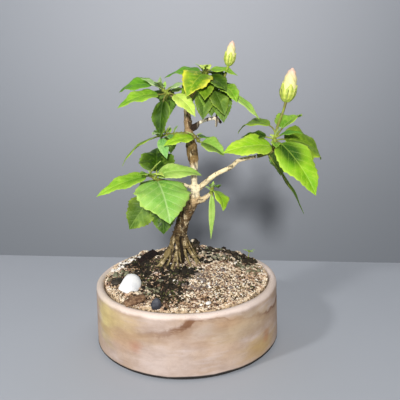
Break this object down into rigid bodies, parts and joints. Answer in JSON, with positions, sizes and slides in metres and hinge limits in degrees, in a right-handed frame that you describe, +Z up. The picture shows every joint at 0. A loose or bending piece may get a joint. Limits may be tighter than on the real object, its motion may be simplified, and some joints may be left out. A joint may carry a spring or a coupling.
{
  "type": "hibiscus bonsai in a planter",
  "caption": "Small leaning hibiscus bonsai with exposed surface roots, sparse toothed leaves and furled buds, planted in a round shallow clay pot.",
  "frame": {"origin": "centre of the planter's flat underside", "axes": "+Z up, +X to the right of the tree's front and +Y to its back, so the front faces -Y"},
  "size_m": [0.2099, 0.1628, 0.2547],
  "materials": {
    "clay": "unglazed pinkish clay with faint stains",
    "soil": "loose dark soil with pale grit",
    "bark": "rough grey-brown bark",
    "young_bark": "smooth pale bark",
    "dead_wood": "dry grey wood",
    "foliage": "soft green leaves with pale veins",
    "white_stone": "smooth white",
    "dark_bark": "dark rough bark"
  },
  "bodies": {
    "root": {"pot": "clay", "soil": "soil", "trunk": "bark", "bough_right": "young_bark", "bough_short": "young_bark", "bough_left": "young_bark", "bough_upper_left": "young_bark", "bough_dead": "dead_wood", "foliage_upper_left": "foliage", "foliage_crown": "foliage", "foliage_upper_right": "foliage", "foliage_middle_left": "foliage", "foliage_middle_front": "foliage", "foliage_left": "foliage", "foliage_right": "foliage", "foliage_low": "foliage", "pebble": "white_stone", "bark_piece": "dark_bark"}
  },
  "joints": []
}
